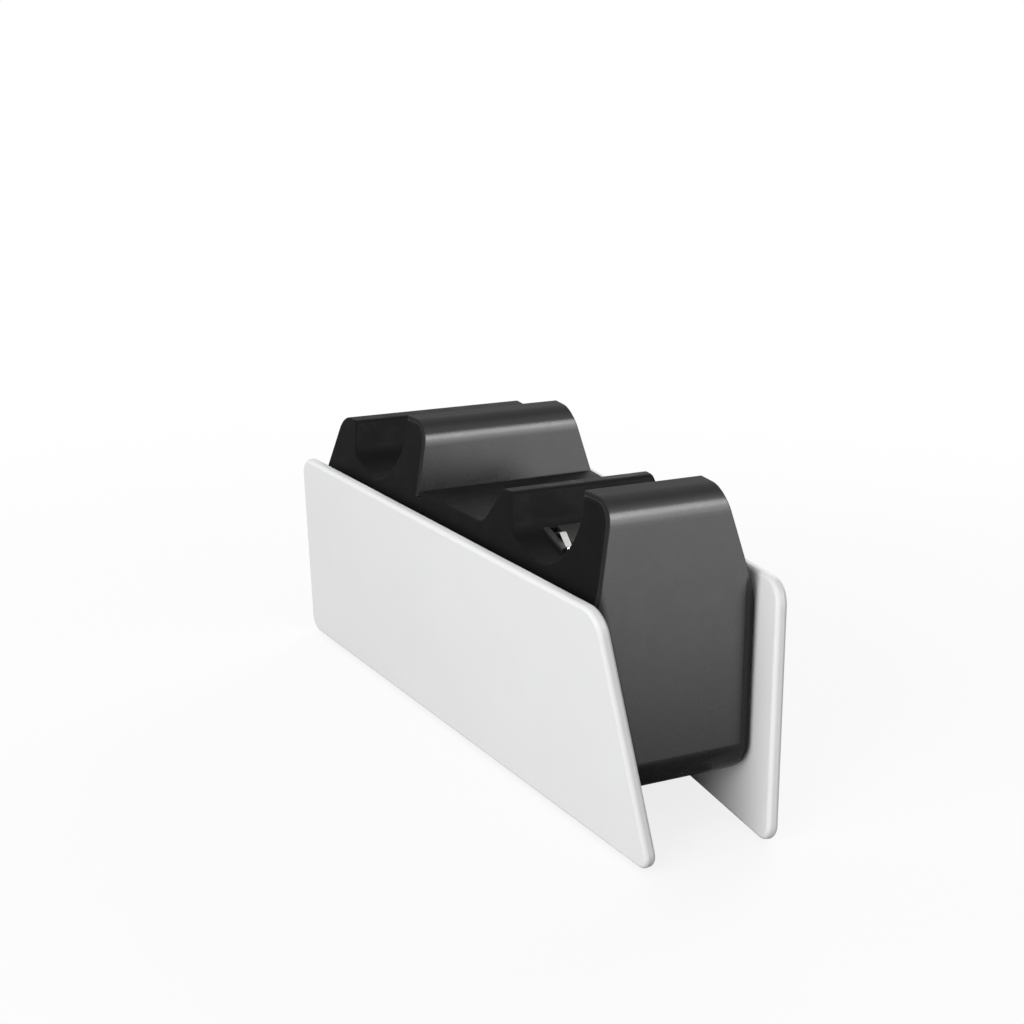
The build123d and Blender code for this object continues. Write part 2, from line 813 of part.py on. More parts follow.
with BuildPart() as front_lead:
    with BuildSketch(Plane.YZ.offset(-lead_spread / 2 - lead_width / 2)):
        with BuildLine():
            FilletPolyline(
                (socket_row, lead_start),
                (socket_row, lead_end - lead_drop),
                (contact_y(0), lead_end - lead_drop),
                (contact_y(0), lead_end),
                radius=lead_bend,
            )
        trace(line_width=lead_thickness)
    extrude(amount=lead_width)
save(front_lead, "front_lead")

with BuildPart() as rear_lead:
    with BuildSketch(Plane.XY.offset(lead_start)):
        with Locations((lead_spread / 2, socket_row)):
            Rectangle(lead_width, lead_thickness)
    extrude(amount=lead_end - lead_start)
save(rear_lead, "rear_lead")
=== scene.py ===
import json
from math import radians

import bpy
from mathutils import Matrix, Vector


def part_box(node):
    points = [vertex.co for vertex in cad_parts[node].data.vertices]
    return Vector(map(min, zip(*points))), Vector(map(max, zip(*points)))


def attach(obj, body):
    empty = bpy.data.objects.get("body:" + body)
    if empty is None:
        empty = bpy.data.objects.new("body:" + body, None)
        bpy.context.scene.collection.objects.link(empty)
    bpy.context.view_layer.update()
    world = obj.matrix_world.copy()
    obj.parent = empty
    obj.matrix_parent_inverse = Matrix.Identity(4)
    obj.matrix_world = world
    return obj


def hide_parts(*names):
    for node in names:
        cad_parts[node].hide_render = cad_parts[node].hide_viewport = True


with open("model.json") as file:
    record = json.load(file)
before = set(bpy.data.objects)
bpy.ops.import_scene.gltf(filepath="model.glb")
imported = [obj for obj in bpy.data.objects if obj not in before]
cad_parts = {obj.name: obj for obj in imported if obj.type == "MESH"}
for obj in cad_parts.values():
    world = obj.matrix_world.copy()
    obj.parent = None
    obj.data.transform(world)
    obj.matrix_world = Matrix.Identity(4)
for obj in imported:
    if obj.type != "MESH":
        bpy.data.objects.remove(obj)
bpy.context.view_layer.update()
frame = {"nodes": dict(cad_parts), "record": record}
nodes = frame["nodes"]


# Camera

camera_data = bpy.data.cameras.new("dock_camera")
camera_data.sensor_fit = "HORIZONTAL"
camera_data.sensor_width = 36.0
camera_data.lens = 57.98
camera_data.clip_start = 0.01
camera = bpy.data.objects.new("dock_camera", camera_data)
camera.location = (-0.1499, -0.30415, 0.1444)
camera.rotation_euler = (radians(74.0), 0.0, radians(-25.43))
bpy.context.scene.collection.objects.link(camera)
bpy.context.scene.camera = camera


# Node helpers

def place(tree, kind, **settings):
    """Adds a node and sets its own properties by name."""
    made = tree.nodes.new(kind)
    for name, value in settings.items():
        setattr(made, name, value)
    return made


def arithmetic(tree, operation, first, second):
    """Math node on two sockets or numbers."""
    made = place(tree, "ShaderNodeMath", operation=operation)
    for socket, value in zip(made.inputs, (first, second)):
        if hasattr(value, "is_linked"):
            tree.links.new(value, socket)
        else:
            socket.default_value = value
    return made.outputs[0]


def spread(tree, value, low, high):
    """Maps a value from 0..1 on to low..high."""
    made = place(tree, "ShaderNodeMapRange")
    tree.links.new(value, made.inputs["Value"])
    made.inputs["To Min"].default_value = low
    made.inputs["To Max"].default_value = high
    return made.outputs["Result"]


def blend_tones(tree, share, first, second):
    """Colour that goes from first to second as share goes from 0 to 1."""
    made = place(tree, "ShaderNodeMix", data_type="RGBA")
    tree.links.new(share, made.inputs[0])
    colours = [s for s in made.inputs if s.type == "RGBA"]
    for socket, tone in zip(colours, (first, second)):
        if hasattr(tone, "is_linked"):
            tree.links.new(tone, socket)
        else:
            socket.default_value = (*tone, 1.0)
    return [s for s in made.outputs if s.type == "RGBA"][0]


def weighted(tree, first, first_share, second, second_share):
    """Sum of two values, each times its share."""
    scaled = arithmetic(tree, "MULTIPLY", first, first_share)
    return arithmetic(tree, "ADD", scaled, arithmetic(tree, "MULTIPLY", second, second_share))


def raise_grain(tree, shader, height, strength, depth):
    """Turns a height into relief on the shader's surface."""
    bump = place(tree, "ShaderNodeBump")
    bump.inputs["Strength"].default_value = strength
    bump.inputs["Distance"].default_value = depth
    tree.links.new(height, bump.inputs["Height"])
    tree.links.new(bump.outputs["Normal"], shader.inputs["Normal"])


def new_group(name, inputs, outputs):
    """Shader node group with named value sockets; returns the group and its two end nodes."""
    group = bpy.data.node_groups.new(name, "ShaderNodeTree")
    for socket_name, value in inputs:
        socket = group.interface.new_socket(socket_name, in_out="INPUT", socket_type="NodeSocketFloat")
        socket.default_value = value
    for socket_name in outputs:
        group.interface.new_socket(socket_name, in_out="OUTPUT", socket_type="NodeSocketFloat")
    return group, place(group, "NodeGroupInput"), place(group, "NodeGroupOutput")


def use_group(tree, group, **values):
    """Places a group in a material with its own values."""
    made = place(tree, "ShaderNodeGroup", node_tree=group)
    for name, value in values.items():
        made.inputs[name.replace("_", " ")].default_value = value
    return made


# Shared effects

def make_moulded_grain():
    """Spark-eroded mould texture: small rounded pits over a finer, softer unevenness."""
    group, given, put = new_group("moulded_grain", [("Per Metre", 2200.0)], ["Height", "Tone"])
    where = place(group, "ShaderNodeTexCoord")
    pits = place(group, "ShaderNodeTexVoronoi", feature="SMOOTH_F1")
    pits.inputs["Smoothness"].default_value = 0.6
    fine = place(group, "ShaderNodeTexNoise")
    fine.inputs["Detail"].default_value = 3.0
    fine.inputs["Roughness"].default_value = 0.6
    for texture in (pits, fine):
        group.links.new(where.outputs["Object"], texture.inputs["Vector"])
        group.links.new(given.outputs["Per Metre"], texture.inputs["Scale"])
    height = weighted(group, pits.outputs["Distance"], 0.8, fine.outputs["Fac"], 0.5)
    group.links.new(height, put.inputs["Height"])
    group.links.new(fine.outputs["Fac"], put.inputs["Tone"])
    return group


def make_handling():
    """Broad, faint unevenness of gloss and tone that a moulded surface gets from the mould and from hands."""
    group, given, put = new_group("handling", [("Per Metre", 40.0)], ["Smudge", "Drift"])
    where = place(group, "ShaderNodeTexCoord")
    broad = place(group, "ShaderNodeTexNoise")
    broad.inputs["Detail"].default_value = 2.0
    close = place(group, "ShaderNodeTexNoise")
    close.inputs["Detail"].default_value = 5.0
    close.inputs["Roughness"].default_value = 0.65
    close.inputs["Distortion"].default_value = 0.4
    for texture in (broad, close):
        group.links.new(where.outputs["Object"], texture.inputs["Vector"])
    group.links.new(given.outputs["Per Metre"], broad.inputs["Scale"])
    group.links.new(arithmetic(group, "MULTIPLY", given.outputs["Per Metre"], 5.0), close.inputs["Scale"])
    smudge = place(group, "ShaderNodeMapRange", interpolation_type="SMOOTHSTEP")
    smudge.inputs["From Min"].default_value = 0.42
    smudge.inputs["From Max"].default_value = 0.68
    group.links.new(close.outputs["Fac"], smudge.inputs["Value"])
    group.links.new(smudge.outputs["Result"], put.inputs["Smudge"])
    group.links.new(broad.outputs["Fac"], put.inputs["Drift"])
    return group


def make_edge_wear_and_highlight():
    """Mask of the outer edges, broken up a little, where a piece is rubbed glossier and its tone is lighter,
    partly from wear and partly as a painted edge highlight.
    """
    group, given, put = new_group("edge_wear_and_highlight", [("Width", 0.0006), ("Breakup", 900.0)], ["Edge"])
    rounded = place(group, "ShaderNodeBevel", samples=6)
    group.links.new(given.outputs["Width"], rounded.inputs["Radius"])
    surface = place(group, "ShaderNodeNewGeometry")
    along = place(group, "ShaderNodeVectorMath", operation="DOT_PRODUCT")
    group.links.new(rounded.outputs["Normal"], along.inputs[0])
    group.links.new(surface.outputs["Normal"], along.inputs[1])
    bent = place(group, "ShaderNodeMapRange", interpolation_type="SMOOTHSTEP")
    bent.inputs["From Min"].default_value = 0.995
    bent.inputs["From Max"].default_value = 0.90
    group.links.new(along.outputs["Value"], bent.inputs["Value"])
    where = place(group, "ShaderNodeTexCoord")
    broken = place(group, "ShaderNodeTexNoise")
    group.links.new(where.outputs["Object"], broken.inputs["Vector"])
    group.links.new(given.outputs["Breakup"], broken.inputs["Scale"])
    patchy = spread(group, broken.outputs["Fac"], 0.4, 1.3)
    edge = arithmetic(group, "MULTIPLY", bent.outputs["Result"], patchy)
    group.links.new(edge, put.inputs["Edge"])
    return group


def make_drawn_lines():
    """Fine parallel lines that drawing or rolling leaves on metal, along one axis of the dock."""
    group, given, put = new_group("drawn_lines", [("Across", 9000.0), ("Along", 250.0)], ["Line"])
    where = place(group, "ShaderNodeTexCoord")
    stretch = place(group, "ShaderNodeCombineXYZ")
    group.links.new(given.outputs["Across"], stretch.inputs["X"])
    group.links.new(given.outputs["Along"], stretch.inputs["Y"])
    group.links.new(given.outputs["Across"], stretch.inputs["Z"])
    scaled = place(group, "ShaderNodeVectorMath", operation="MULTIPLY")
    group.links.new(where.outputs["Object"], scaled.inputs[0])
    group.links.new(stretch.outputs["Vector"], scaled.inputs[1])
    lines = place(group, "ShaderNodeTexNoise")
    lines.inputs["Scale"].default_value = 1.0
    lines.inputs["Detail"].default_value = 3.0
    group.links.new(scaled.outputs["Vector"], lines.inputs["Vector"])
    group.links.new(lines.outputs["Fac"], put.inputs["Line"])
    return group


def make_flank_mask():
    """Mask of the faces that look up or to the left or the right of the dock."""
    sockets = [("Side Start", 0.05), ("Side Full", 0.50), ("Top Start", 0.60), ("Top Full", 0.90)]
    group, given, put = new_group("flank_mask", sockets, ["Flank"])
    surface = place(group, "ShaderNodeNewGeometry")
    parts = place(group, "ShaderNodeSeparateXYZ")
    group.links.new(surface.outputs["Normal"], parts.inputs["Vector"])
    sideways = arithmetic(group, "ABSOLUTE", parts.outputs["X"], 0.0)
    masks = []
    for turn, word in ((sideways, "Side"), (parts.outputs["Z"], "Top")):
        mask = place(group, "ShaderNodeMapRange", interpolation_type="SMOOTHSTEP")
        group.links.new(turn, mask.inputs["Value"])
        group.links.new(given.outputs[word + " Start"], mask.inputs["From Min"])
        group.links.new(given.outputs[word + " Full"], mask.inputs["From Max"])
        masks.append(mask.outputs["Result"])
    group.links.new(arithmetic(group, "MAXIMUM", masks[0], masks[1]), put.inputs["Flank"])
    return group


moulded_grain = make_moulded_grain()
handling = make_handling()
edge_wear_and_highlight = make_edge_wear_and_highlight()
drawn_lines = make_drawn_lines()
flank_mask = make_flank_mask()


# Finishes

def new_material(name):
    """Empty node material with its shader wired to the output."""
    material = bpy.data.materials.new(name)
    material.use_nodes = True
    tree = material.node_tree
    tree.nodes.clear()
    shader = place(tree, "ShaderNodeBsdfPrincipled")
    output = place(tree, "ShaderNodeOutputMaterial")
    tree.links.new(shader.outputs["BSDF"], output.inputs["Surface"])
    return material, tree, shader


def moulded_plastic(
    name, deep, high, worn_and_highlight_tone, gloss, grain_per_metre, grain_depth, specular, uneven=0.04, flanks=None
):
    """Moulded plastic: two close tones, grain in the surface, uneven gloss, and edges that are rubbed glossier
    and lighter, the lighter tone partly wear and partly a painted highlight.

    Flanks is the roughness of faces that look up or to either side, where they are duller than the front.
    """
    material, tree, shader = new_material(name)
    grain = use_group(tree, moulded_grain, Per_Metre=grain_per_metre)
    hands = use_group(tree, handling)
    worn_and_highlit = use_group(tree, edge_wear_and_highlight)
    mottle = weighted(tree, grain.outputs["Tone"], 0.5, hands.outputs["Drift"], 0.5)
    tone = blend_tones(tree, mottle, deep, high)
    # lighter tone along the edges: partly rubbed wear, partly a painted highlight
    tone = blend_tones(tree, worn_and_highlit.outputs["Edge"], tone, worn_and_highlight_tone)
    tree.links.new(tone, shader.inputs["Base Color"])
    rough = spread(tree, hands.outputs["Smudge"], gloss + uneven, gloss - uneven)
    rough = arithmetic(tree, "ADD", rough, spread(tree, grain.outputs["Tone"], -uneven, uneven))
    if flanks:
        turned = use_group(tree, flank_mask)
        duller = arithmetic(tree, "MULTIPLY", turned.outputs["Flank"], flanks - gloss)
        rough = arithmetic(tree, "ADD", rough, duller)
    polish = arithmetic(tree, "MULTIPLY", worn_and_highlit.outputs["Edge"], 0.06)
    rough = arithmetic(tree, "SUBTRACT", rough, polish)
    tree.links.new(rough, shader.inputs["Roughness"])
    raise_grain(tree, shader, grain.outputs["Height"], strength=0.5, depth=grain_depth)
    shader.inputs["Specular IOR Level"].default_value = specular
    return material


def drawn_metal(name, dull, bright, gloss, across, along):
    """Plated or drawn metal with fine lines, a faint tarnish, and edges that are glossier and brighter in tone,
    partly wear and partly a painted highlight.
    """
    material, tree, shader = new_material(name)
    line_depth, smeared = 0.000004, 0.06
    lines = use_group(tree, drawn_lines, Across=across, Along=along)
    hands = use_group(tree, handling, Per_Metre=160.0)
    worn_and_highlit = use_group(tree, edge_wear_and_highlight, Width=0.0002, Breakup=2500.0)
    tarnish = weighted(tree, lines.outputs["Line"], 0.6, hands.outputs["Drift"], 0.4)
    tone = blend_tones(tree, tarnish, dull, bright)
    # brighter tone along the edges: partly rubbed wear, partly a painted highlight
    tone = blend_tones(tree, worn_and_highlit.outputs["Edge"], tone, bright)
    tree.links.new(tone, shader.inputs["Base Color"])
    rough = spread(tree, lines.outputs["Line"], gloss - 0.07, gloss + 0.09)
    rough = arithmetic(tree, "ADD", rough, arithmetic(tree, "MULTIPLY", hands.outputs["Smudge"], smeared))
    tree.links.new(rough, shader.inputs["Roughness"])
    raise_grain(tree, shader, lines.outputs["Line"], strength=0.5, depth=line_depth)
    shader.inputs["Metallic"].default_value = 1.0
    return material


def cast_zinc(name):
    """Dull cast metal with a coarse skin, and rubbed edges whose brighter tone is partly wear and partly a
    painted highlight.
    """
    material, tree, shader = new_material(name)
    skin = use_group(tree, moulded_grain, Per_Metre=900.0)
    hands = use_group(tree, handling, Per_Metre=90.0)
    worn_and_highlit = use_group(tree, edge_wear_and_highlight, Width=0.0005)
    tone = blend_tones(tree, hands.outputs["Drift"], (0.20, 0.20, 0.21), (0.36, 0.36, 0.37))
    # brighter tone along the edges: partly rubbed wear, partly a painted highlight
    tone = blend_tones(tree, worn_and_highlit.outputs["Edge"], tone, (0.55, 0.55, 0.56))
    tree.links.new(tone, shader.inputs["Base Color"])
    tree.links.new(spread(tree, skin.outputs["Tone"], 0.45, 0.70), shader.inputs["Roughness"])
    raise_grain(tree, shader, skin.outputs["Height"], strength=0.6, depth=0.00004)
    shader.inputs["Metallic"].default_value = 0.9
    return material


def soft_rubber(name):
    """Matte black rubber with a dusty bloom on its grain."""
    material, tree, shader = new_material(name)
    grain = use_group(tree, moulded_grain, Per_Metre=1600.0)
    hands = use_group(tree, handling, Per_Metre=220.0)
    tone = blend_tones(tree, hands.outputs["Smudge"], (0.014, 0.014, 0.014), (0.034, 0.033, 0.032))
    tree.links.new(tone, shader.inputs["Base Color"])
    tree.links.new(spread(tree, grain.outputs["Tone"], 0.70, 0.95), shader.inputs["Roughness"])
    raise_grain(tree, shader, grain.outputs["Height"], strength=0.6, depth=0.00003)
    shader.inputs["Specular IOR Level"].default_value = 0.35
    return material


def lacquered_board(name):
    """Green lacquered laminate with copper tracks showing faintly through it."""
    material, tree, shader = new_material(name)
    where = place(tree, "ShaderNodeTexCoord")
    tracks = place(tree, "ShaderNodeTexBrick", offset=0.5, squash=1.0)
    tracks.inputs["Scale"].default_value = 220.0
    tracks.inputs["Mortar Size"].default_value = 0.045
    tracks.inputs["Mortar Smooth"].default_value = 0.2
    tracks.inputs["Brick Width"].default_value = 1.6
    tracks.inputs["Row Height"].default_value = 0.4
    tree.links.new(where.outputs["Object"], tracks.inputs["Vector"])
    weave = use_group(tree, moulded_grain, Per_Metre=1400.0)
    hands = use_group(tree, handling, Per_Metre=120.0)
    lacquer = blend_tones(tree, hands.outputs["Drift"], (0.010, 0.075, 0.034), (0.020, 0.120, 0.058))
    tone = blend_tones(tree, tracks.outputs["Fac"], lacquer, (0.035, 0.170, 0.075))
    tree.links.new(tone, shader.inputs["Base Color"])
    tree.links.new(spread(tree, weave.outputs["Tone"], 0.22, 0.40), shader.inputs["Roughness"])
    relief = weighted(tree, tracks.outputs["Fac"], 1.0, weave.outputs["Height"], 0.25)
    raise_grain(tree, shader, relief, strength=0.5, depth=0.00003)
    return material


finishes = {
    # the worn tone of each plastic is the colour of its edges, partly rubbed wear and partly a painted highlight
    "wing": moulded_plastic(
        "white_satin", deep=(0.770, 0.772, 0.775), high=(0.830, 0.832, 0.835), worn_and_highlight_tone=(0.86, 0.86, 0.86),
        gloss=0.50, grain_per_metre=2600.0, grain_depth=0.000012, specular=0.2,
    ),
    "cover": moulded_plastic(
        "black_satin", deep=(0.006, 0.006, 0.0062), high=(0.011, 0.011, 0.0114), worn_and_highlight_tone=(0.030, 0.030, 0.031),
        gloss=0.27, grain_per_metre=2600.0, grain_depth=0.000003, specular=0.25, uneven=0.012, flanks=0.90,
    ),
    "body": moulded_plastic(
        "black_matte", deep=(0.004, 0.004, 0.0042), high=(0.007, 0.007, 0.0073), worn_and_highlight_tone=(0.016, 0.016, 0.017),
        gloss=0.58, grain_per_metre=2200.0, grain_depth=0.000018, specular=0.05,
    ),
    "base": moulded_plastic(
        "black_textured", deep=(0.009, 0.009, 0.0095), high=(0.018, 0.018, 0.019), worn_and_highlight_tone=(0.035, 0.035, 0.036),
        gloss=0.62, grain_per_metre=1300.0, grain_depth=0.00004, specular=0.4,
    ),
    "insulator": moulded_plastic(
        "black_fine", deep=(0.008, 0.008, 0.0085), high=(0.015, 0.015, 0.016), worn_and_highlight_tone=(0.035, 0.035, 0.036),
        gloss=0.45, grain_per_metre=3200.0, grain_depth=0.00001, specular=0.3,
    ),
    "component": moulded_plastic(
        "dark_case", deep=(0.022, 0.022, 0.024), high=(0.038, 0.038, 0.040), worn_and_highlight_tone=(0.07, 0.07, 0.07),
        gloss=0.50, grain_per_metre=3000.0, grain_depth=0.000012, specular=0.5,
    ),
    "lead_socket": moulded_plastic(
        "off_white_nylon", deep=(0.63, 0.61, 0.55), high=(0.75, 0.73, 0.67), worn_and_highlight_tone=(0.80, 0.78, 0.74),
        gloss=0.45, grain_per_metre=2800.0, grain_depth=0.00001, specular=0.5,
    ),
    "lead": moulded_plastic(
        "dark_sleeve", deep=(0.040, 0.040, 0.044), high=(0.060, 0.060, 0.065), worn_and_highlight_tone=(0.09, 0.09, 0.09),
        gloss=0.55, grain_per_metre=2400.0, grain_depth=0.00002, specular=0.5,
    ),
    "socket_tongue": moulded_plastic(
        "black_gloss", deep=(0.008, 0.008, 0.008), high=(0.016, 0.016, 0.016), worn_and_highlight_tone=(0.04, 0.04, 0.04),
        gloss=0.30, grain_per_metre=4000.0, grain_depth=0.000006, specular=0.5,
    ),
    "ballast": cast_zinc("cast_zinc"),
    "foot": soft_rubber("soft_rubber"),
    "board": lacquered_board("green_laminate"),
    "screw": drawn_metal("zinc_plate", (0.46, 0.46, 0.47), (0.70, 0.70, 0.70), 0.30, 7000.0, 900.0),
    "contact": drawn_metal("nickel_plate", (0.42, 0.41, 0.39), (0.64, 0.63, 0.60), 0.24, 9000.0, 350.0),
    "socket_shell": drawn_metal("drawn_steel", (0.48, 0.48, 0.49), (0.74, 0.74, 0.74), 0.28, 9000.0, 260.0),
}

slot_of = {part["node"]: part["material_slot"] for part in frame["record"]["subparts"]}
for name, node in nodes.items():
    node.data.materials.clear()
    node.data.materials.append(finishes[slot_of[name]])


# Modelling helpers

def select_only(piece):
    """Makes a piece the only selected one and the active one."""
    bpy.ops.object.select_all(action="DESELECT")
    piece.select_set(True)
    bpy.context.view_layer.objects.active = piece


def pick_faces(piece, wanted):
    """Goes into edit mode with only the wanted faces of a piece selected."""
    select_only(piece)
    bpy.ops.object.mode_set(mode="EDIT")
    bpy.ops.mesh.select_mode(type="FACE")
    bpy.ops.mesh.select_all(action="DESELECT")
    bpy.ops.object.mode_set(mode="OBJECT")
    for face in piece.data.polygons:
        face.select = wanted(face)
    bpy.ops.object.mode_set(mode="EDIT")


def leave_edit():
    """Goes back to object mode."""
    bpy.ops.object.mode_set(mode="OBJECT")


def apply_modifier(piece, kind, **settings):
    """Adds a modifier, sets it and applies it."""
    select_only(piece)
    modifier = piece.modifiers.new(kind.lower(), kind)
    for name, value in settings.items():
        setattr(modifier, name, value)
    bpy.ops.object.modifier_apply(modifier=modifier.name)


def smooth(piece, angle=35.0):
    """Smooth shading up to an angle in degrees, and sharp edges beyond it."""
    select_only(piece)
    bpy.ops.object.shade_smooth_by_angle(angle=radians(angle))


def copy_to(piece, name, spot):
    """Copy of a piece with its own mesh, moved to a spot in its mesh."""
    copy = bpy.data.objects.new(name, piece.data.copy())
    copy.data.transform(Matrix.Translation(spot))
    bpy.context.scene.collection.objects.link(copy)
    return copy


def merged_copy(node_name, name):
    """Copy of a CAD node with its loose triangles joined into one skin."""
    copy = bpy.data.objects.new(name, nodes[node_name].data.copy())
    bpy.context.scene.collection.objects.link(copy)
    select_only(copy)
    bpy.ops.mesh.customdata_custom_splitnormals_clear()
    bpy.ops.object.mode_set(mode="EDIT")
    bpy.ops.mesh.select_all(action="SELECT")
    bpy.ops.mesh.remove_doubles(threshold=0.000001)
    leave_edit()
    return copy


def finish_piece(piece, slot, stands_for=None):
    """Gives a piece its finish and hands it to the dock's body."""
    piece.data.materials.clear()
    piece.data.materials.append(finishes[slot])
    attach(piece, "root")
    if stands_for:
        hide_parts(stands_for)


# Rubber feet

def make_feet():
    """Four rubber feet: a land round the edge, a shallow groove inside it and a low button in the middle."""
    land_width, groove_width, step_run = 0.0013, 0.0008, 0.0002
    groove_depth, button_rise, edge_round = 0.0003, 0.0002, 0.00018
    names = ("foot_front_left", "foot_front_right", "foot_rear_left", "foot_rear_right")
    low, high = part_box(names[0])
    radius, height = (high.x - low.x) / 2, high.z - low.z
    bpy.ops.object.select_all(action="DESELECT")
    bpy.ops.mesh.primitive_cylinder_add(vertices=72, radius=radius, depth=height, location=(0, 0, height / 2))
    pattern = bpy.context.object
    bpy.ops.object.transform_apply(location=True)
    pick_faces(pattern, lambda face: face.normal.z < -0.9)
    for flat_width, lift in ((land_width, groove_depth), (groove_width, -button_rise)):
        bpy.ops.mesh.inset(thickness=flat_width)
        bpy.ops.mesh.inset(thickness=step_run)
        bpy.ops.transform.translate(value=(0, 0, lift))
    leave_edit()
    apply_modifier(pattern, "BEVEL", width=edge_round, segments=3, limit_method="ANGLE", angle_limit=radians(40))
    for name in names:
        low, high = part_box(name)
        foot = copy_to(pattern, name + "_rubber", ((low.x + high.x) / 2, (low.y + high.y) / 2, low.z))
        smooth(foot)
        finish_piece(foot, "foot", name)
    bpy.data.objects.remove(pattern)


# Screws under the base

def make_base_screws():
    """The four base screws with a tapered cross recess in each head."""
    core_width, core_reach, arm_length = 0.0007, 0.0005, 0.00095
    recess_depth, tip_share = 0.0006, 0.55
    screws = merged_copy("base_screws", "base_screws_crossed")
    low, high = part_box("base_screws")
    middle = (low.y + high.y) / 2
    bpy.ops.object.select_all(action="DESELECT")
    bpy.ops.mesh.primitive_cube_add(size=core_width, location=(0, 0, 0))
    pattern = bpy.context.object
    for normal in ((1, 0, 0), (-1, 0, 0), (0, 1, 0), (0, -1, 0)):
        pick_faces(
            pattern,
            lambda face: face.normal.dot(Vector(normal)) > 0.9 and face.center.length < core_reach,
        )
        bpy.ops.mesh.extrude_region_move(TRANSFORM_OT_translate={"value": Vector(normal) * arm_length})
        leave_edit()
    pick_faces(pattern, lambda face: face.normal.z > 0.9)
    bpy.ops.transform.translate(value=(0, 0, recess_depth))
    bpy.ops.transform.resize(value=(tip_share, tip_share, 1.0))
    leave_edit()
    cutters = []
    for side in (-1, 1):
        for end in (-1, 1):
            points = [v.co for v in screws.data.vertices if v.co.x * side > 0 and (v.co.y - middle) * end > 0]
            x = (min(p.x for p in points) + max(p.x for p in points)) / 2
            y = (min(p.y for p in points) + max(p.y for p in points)) / 2
            cutters.append(copy_to(pattern, "cross", (x, y, low.z)))
    for cutter in cutters:
        apply_modifier(screws, "BOOLEAN", object=cutter, operation="DIFFERENCE", solver="EXACT")
        bpy.data.objects.remove(cutter)
    bpy.data.objects.remove(pattern)
    smooth(screws, 30.0)
    finish_piece(screws, "screw", "base_screws")


# Pads on the supply socket's tongue

def make_socket_pads():
    """Two rows of twelve flat contact pads on the tongue, above and below."""
    pad_count, pad_pitch = 12, 0.0005
    pad_width, pad_length, pad_thickness = 0.00026, 0.0034, 0.00005
    pad_setback, pad_height, pad_round = 0.0005, 0.00035, 0.00002
    low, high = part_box("usb_tongue")
    middle = (low.z + high.z) / 2
    bpy.ops.object.select_all(action="DESELECT")
    bpy.ops.mesh.primitive_cube_add(size=1.0)
    pads = bpy.context.object
    pads.name = "socket_pads"
    pads.scale = (pad_width, pad_length, pad_thickness)
    first_x = -(pad_count - 1) / 2 * pad_pitch
    pads.location = (first_x, high.y - pad_setback - pad_length / 2, middle + pad_height)
    bpy.ops.object.transform_apply(location=True, rotation=True, scale=True)
    apply_modifier(pads, "BEVEL", width=pad_round, segments=2, limit_method="NONE")
    apply_modifier(
        pads, "ARRAY", count=pad_count, use_relative_offset=False, use_constant_offset=True,
        constant_offset_displace=(pad_pitch, 0, 0),
    )
    under = copy_to(pads, "socket_pads_under", (0, 0, -2 * pad_height))
    select_only(pads)
    under.select_set(True)
    bpy.ops.object.join()
    smooth(pads, 30.0)
    finish_piece(pads, "contact")


make_feet()
make_base_screws()
make_socket_pads()


# Floor and light

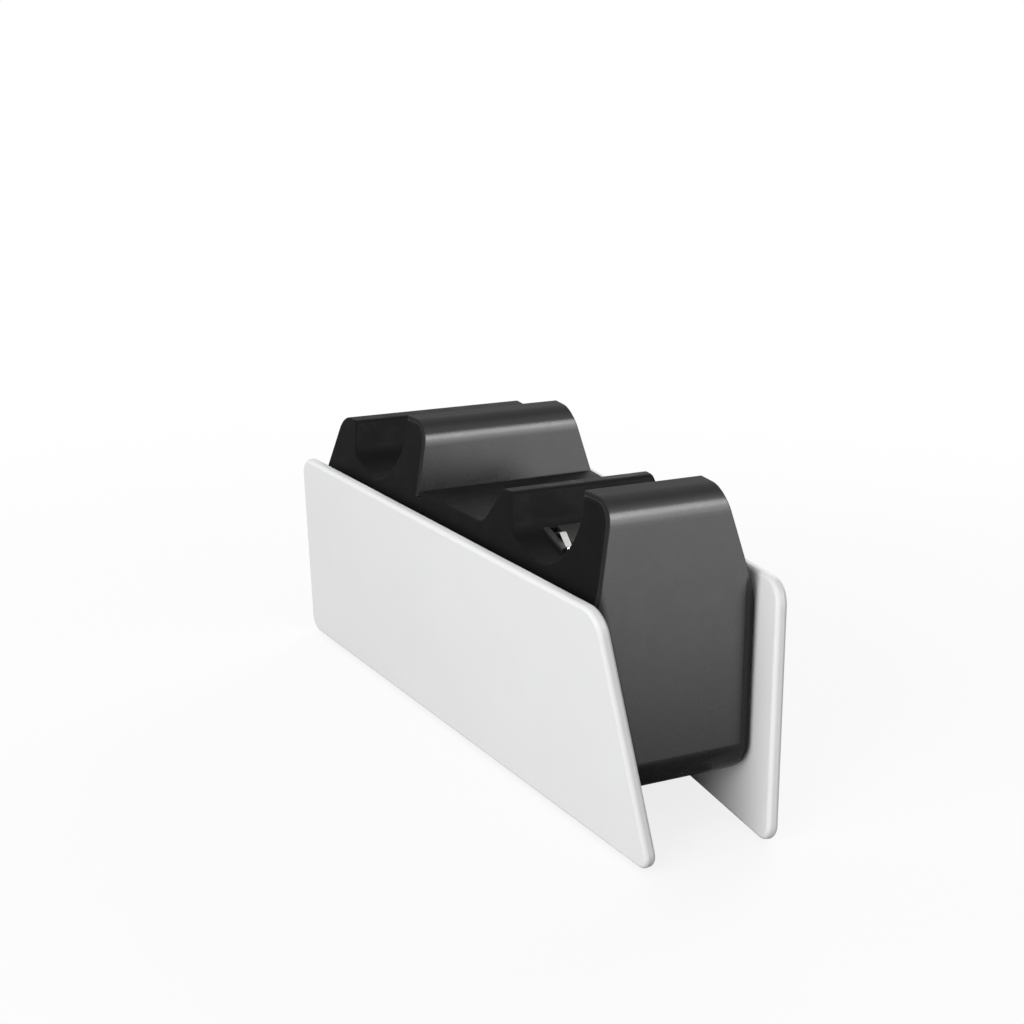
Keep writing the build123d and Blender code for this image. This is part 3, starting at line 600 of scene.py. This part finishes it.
def make_floor():
    """Plain white floor that takes the dock's soft shadow and can be looked through from below.

    A fade says at what distances from the middle the floor turns to plain white, and the least share of white.
    """
    camera_fade, mirror_fade = (0.08, 0.40, 0.82), (0.15, 0.60, 0.0)
    paint_in_light, paint_to_camera = (0.30, 0.30, 0.30), (0.98, 0.98, 0.98)
    bpy.ops.object.select_all(action="DESELECT")
    bpy.ops.mesh.primitive_circle_add(vertices=96, radius=4.0, fill_type="NGON")
    floor = bpy.context.object
    floor.name = "floor"
    material = bpy.data.materials.new("white_sweep")
    material.use_nodes = True
    tree = material.node_tree
    tree.nodes.clear()
    rays = place(tree, "ShaderNodeLightPath")
    mirrored = arithmetic(tree, "MAXIMUM", rays.outputs["Is Glossy Ray"], rays.outputs["Is Transmission Ray"])
    where = place(tree, "ShaderNodeTexCoord")
    away = place(tree, "ShaderNodeVectorMath", operation="LENGTH")
    tree.links.new(where.outputs["Object"], away.inputs[0])
    shares = []
    fades = ((rays.outputs["Is Camera Ray"], camera_fade), (mirrored, mirror_fade))
    for ray, (near, far, least) in fades:
        fade = place(tree, "ShaderNodeMapRange", interpolation_type="SMOOTHSTEP")
        fade.inputs["From Min"].default_value = near
        fade.inputs["From Max"].default_value = far
        fade.inputs["To Min"].default_value = least
        tree.links.new(away.outputs["Value"], fade.inputs["Value"])
        shares.append(arithmetic(tree, "MULTIPLY", ray, fade.outputs["Result"]))
    paint = place(tree, "ShaderNodeBsdfDiffuse")
    paint_tone = blend_tones(tree, rays.outputs["Is Camera Ray"], paint_in_light, paint_to_camera)
    tree.links.new(paint_tone, paint.inputs["Color"])
    glow = place(tree, "ShaderNodeEmission")
    glow.inputs["Color"].default_value = (1.0, 1.0, 1.0, 1.0)
    mix = place(tree, "ShaderNodeMixShader")
    tree.links.new(arithmetic(tree, "ADD", shares[0], shares[1]), mix.inputs["Fac"])
    tree.links.new(paint.outputs["BSDF"], mix.inputs[1])
    tree.links.new(glow.outputs["Emission"], mix.inputs[2])
    surface = place(tree, "ShaderNodeNewGeometry")
    from_below = place(tree, "ShaderNodeMixShader")
    tree.links.new(surface.outputs["Backfacing"], from_below.inputs["Fac"])
    tree.links.new(mix.outputs["Shader"], from_below.inputs[1])
    tree.links.new(place(tree, "ShaderNodeBsdfTransparent").outputs["BSDF"], from_below.inputs[2])
    output = place(tree, "ShaderNodeOutputMaterial")
    tree.links.new(from_below.outputs["Shader"], output.inputs["Surface"])
    floor.data.materials.append(material)


def make_world():
    """White surroundings to the eye and in reflections, and a lower even light on the dock."""
    even_light, seen_white = 0.50, 1.0
    world = bpy.data.worlds.new("studio")
    bpy.context.scene.world = world
    world.use_nodes = True
    tree = world.node_tree
    tree.nodes.clear()
    rays = place(tree, "ShaderNodeLightPath")
    seen = arithmetic(tree, "MAXIMUM", rays.outputs["Is Camera Ray"], rays.outputs["Is Glossy Ray"])
    seen = arithmetic(tree, "MAXIMUM", seen, rays.outputs["Is Transmission Ray"])
    shine = place(tree, "ShaderNodeBackground")
    shine.inputs["Color"].default_value = (1.0, 1.0, 1.0, 1.0)
    tree.links.new(spread(tree, seen, even_light, seen_white), shine.inputs["Strength"])
    output = place(tree, "ShaderNodeOutputWorld")
    tree.links.new(shine.outputs["Background"], output.inputs["Surface"])


dock_middle = Vector((0.0, 0.0, 0.03))


def soft_lamp(name, place_at, width, height, power, sheen_only=False):
    """Large soft panel turned towards the dock, which may show in its sheen alone."""
    lamp_data = bpy.data.lights.new(name, "AREA")
    lamp_data.shape = "RECTANGLE"
    lamp_data.size = width
    lamp_data.size_y = height
    lamp_data.energy = power
    lamp = bpy.data.objects.new(name, lamp_data)
    lamp.location = place_at
    lamp.visible_diffuse = not sheen_only
    lamp.rotation_euler = (dock_middle - Vector(place_at)).to_track_quat("-Z", "Y").to_euler()
    bpy.context.scene.collection.objects.link(lamp)


make_floor()
make_world()
soft_lamp("left_panel", (-0.92, -0.42, 0.33), 0.9, 0.7, 9.2)
soft_lamp("high_panel", (0.40, -0.67, 0.73), 0.5, 0.3, 10.2, sheen_only=True)
soft_lamp("middle_panel", (0.49, -0.81, 0.47), 0.5, 0.36, 5.4, sheen_only=True)
soft_lamp("low_panel", (0.52, -0.90, 0.12), 0.6, 0.3, 3.2, sheen_only=True)
soft_lamp("rear_panel", (0.80, 0.70, 0.50), 0.8, 0.6, 6.2)


# End

bpy.context.scene.view_settings.view_transform = "Standard"
